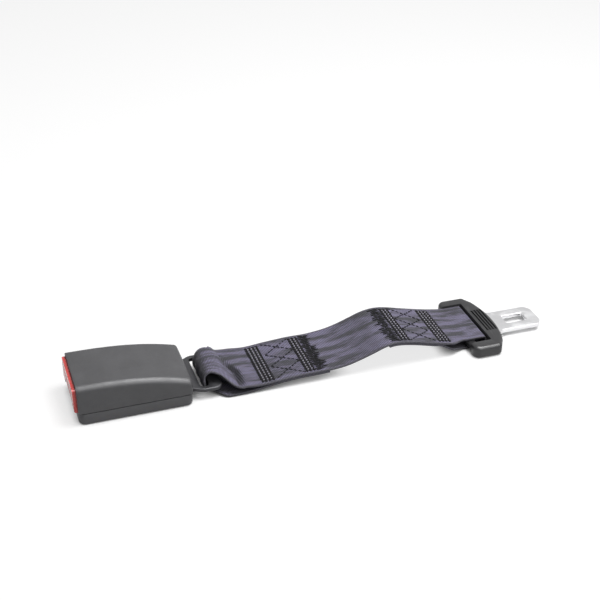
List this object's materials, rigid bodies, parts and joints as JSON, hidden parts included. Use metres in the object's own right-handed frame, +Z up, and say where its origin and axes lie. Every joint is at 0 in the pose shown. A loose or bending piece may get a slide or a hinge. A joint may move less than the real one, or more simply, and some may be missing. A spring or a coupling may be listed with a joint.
{
  "type": "seat belt extender",
  "caption": "Short sewn strap that lengthens a vehicle seat belt, with a push button buckle at one end and a flat steel tongue in a moulded grip at the other.",
  "frame": {"origin": "on the table, under the middle of the extender's bounding box", "axes": "+X along the strap from the button's end to the tongue's tip, +Y across the strap, +Z up from the table"},
  "size_m": [0.3454, 0.0676, 0.0285],
  "materials": {
    "cover_plastic": "satin moulded dark grey plastic",
    "button_plastic": "glossy red plastic",
    "ejector_plastic": "black plastic",
    "coated_steel": "dark grey coated steel",
    "bright_steel": "bright plated steel",
    "spring_steel": "bare spring steel",
    "webbing": "woven polyester webbing, blue grey with fine cross ribs",
    "thread": "heavy black sewing thread",
    "grip_plastic": "satin moulded dark grey plastic"
  },
  "bodies": {
    "buckle": {"buckle_top_cover": "cover_plastic", "buckle_bottom_cover": "cover_plastic", "buckle_frame": "coated_steel", "latch_spring": "spring_steel", "ejector_spring": "spring_steel", "button_spring_left": "spring_steel", "button_spring_right": "spring_steel"},
    "button": {"press_button": "button_plastic", "lock_bar": "bright_steel"},
    "ejector": {"ejector": "ejector_plastic"},
    "latch": {"latch_plate": "bright_steel"},
    "strap": {"webbing": "webbing", "seam_left_rows": "thread", "seam_left_panel": "thread", "seam_left_tack": "thread", "seam_right_rows": "thread", "seam_right_panel": "thread", "seam_right_tack": "thread"},
    "tongue": {"tongue_plate": "bright_steel", "tongue_grip": "grip_plastic"}
  },
  "joints": [
    {"name": "button_press", "type": "slide", "parent": "buckle", "child": "button", "axis": [1, 0, 0], "range_m": [0, 0.005], "stiffness_N_per_m": 900, "springref_m": -0.004, "deforming": ["button_spring_left", "button_spring_right"]},
    {"name": "ejector_slide", "type": "slide", "parent": "buckle", "child": "ejector", "axis": [1, 0, 0], "range_m": [0, 0.012], "stiffness_N_per_m": 350, "springref_m": -0.005, "deforming": ["ejector_spring"]},
    {"name": "latch_swing", "type": "hinge", "parent": "buckle", "child": "latch", "pos_m": [-0.11632, 0, 0.0132], "axis": [0, -1, 0], "range_deg": [0, 5.45]},
    {"name": "strap_swivel", "type": "hinge", "parent": "buckle", "child": "strap", "pos_m": [-0.07737, 0, 0.0104], "axis": [0, -1, 0], "range_deg": [-20, 30]},
    {"name": "tongue_swivel", "type": "hinge", "parent": "strap", "child": "tongue", "pos_m": [0.11113, 0, 0.0044], "axis": [0, -1, 0], "range_deg": [-15, 15]}
  ],
  "couplings": [
    {"joint": "latch_swing", "follows": "ejector_slide", "rad_per_m": 7.9}
  ]
}
